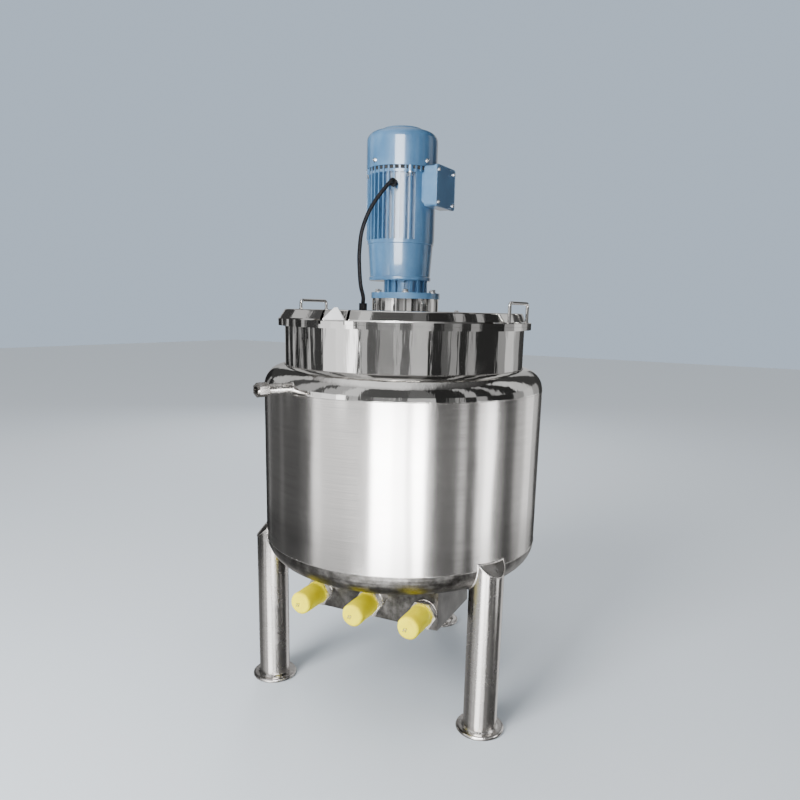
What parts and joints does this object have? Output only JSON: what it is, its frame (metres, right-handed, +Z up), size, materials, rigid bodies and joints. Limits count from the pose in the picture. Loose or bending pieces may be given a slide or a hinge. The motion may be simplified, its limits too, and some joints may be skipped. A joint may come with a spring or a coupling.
{
  "type": "jacketed mixing tank",
  "caption": "Jacketed steel mixing tank on tubular legs, with a hinged split lid, a geared motor on the lid bridge and an electric heater box below.",
  "frame": {"origin": "on the tank axis at floor level", "axes": "+Z up; the lid's hinge lines run along Y; the terminal box is on the +X side and the heater caps face about -Y"},
  "size_m": [0.7168, 0.8143, 1.404],
  "materials": {
    "polished_steel": "mirror-polished stainless steel",
    "brushed_steel": "brushed stainless steel",
    "dull_steel": "matt pickled stainless steel",
    "turned_steel": "turned stainless steel",
    "blue_paint": "glossy blue-grey enamel on cast aluminium",
    "yellow_plastic": "glossy yellow plastic",
    "black_rubber": "black cable sheath"
  },
  "bodies": {
    "tank": {"vessel_wall": "polished_steel", "vessel_bottom": "brushed_steel", "rim_ring": "polished_steel", "jacket_wall": "brushed_steel", "jacket_shoulder": "polished_steel", "jacket_bottom": "dull_steel", "leg_right": "brushed_steel", "leg_left": "brushed_steel", "leg_back": "brushed_steel", "foot_right": "turned_steel", "foot_left": "turned_steel", "foot_back": "turned_steel", "bridge_beam": "brushed_steel", "bridge_deck": "brushed_steel", "bridge_gusset_front": "polished_steel", "bridge_gusset_back": "polished_steel", "bridge_hinge_leaves": "dull_steel", "hinge_pins": "dull_steel", "pedestal_ring": "polished_steel", "drive_flange": "blue_paint", "drive_neck": "blue_paint", "gear_housing": "blue_paint", "motor_frame": "blue_paint", "motor_end_shield": "blue_paint", "fan_cowl": "blue_paint", "cowl_cap": "blue_paint", "terminal_box": "blue_paint", "terminal_box_lid": "blue_paint", "motor_lead": "black_rubber", "lead_gland_motor": "black_rubber", "lead_gland_bridge": "black_rubber", "mixing_shaft": "brushed_steel", "mixing_paddle": "brushed_steel", "heater_box": "dull_steel", "heater_sockets": "turned_steel", "heater_heads": "turned_steel", "heater_cap_left": "yellow_plastic", "heater_cap_middle": "yellow_plastic", "heater_cap_right": "yellow_plastic", "jacket_nipple": "turned_steel", "nipple_union": "turned_steel", "bottom_outlet": "brushed_steel"},
    "right_lid": {"lid_right": "polished_steel", "lid_hinge_right": "dull_steel", "lid_handle_right": "polished_steel"},
    "left_lid": {"lid_left": "polished_steel", "lid_hinge_left": "dull_steel", "lid_handle_left": "polished_steel"}
  },
  "joints": [
    {"name": "right_lid_hinge", "type": "hinge", "parent": "tank", "child": "right_lid", "pos_m": [0.036, 0, 0.975], "axis": [0, -1, 0], "range_deg": [0, 47]},
    {"name": "left_lid_hinge", "type": "hinge", "parent": "tank", "child": "left_lid", "pos_m": [-0.036, 0, 0.975], "axis": [0, 1, 0], "range_deg": [0, 47]}
  ]
}
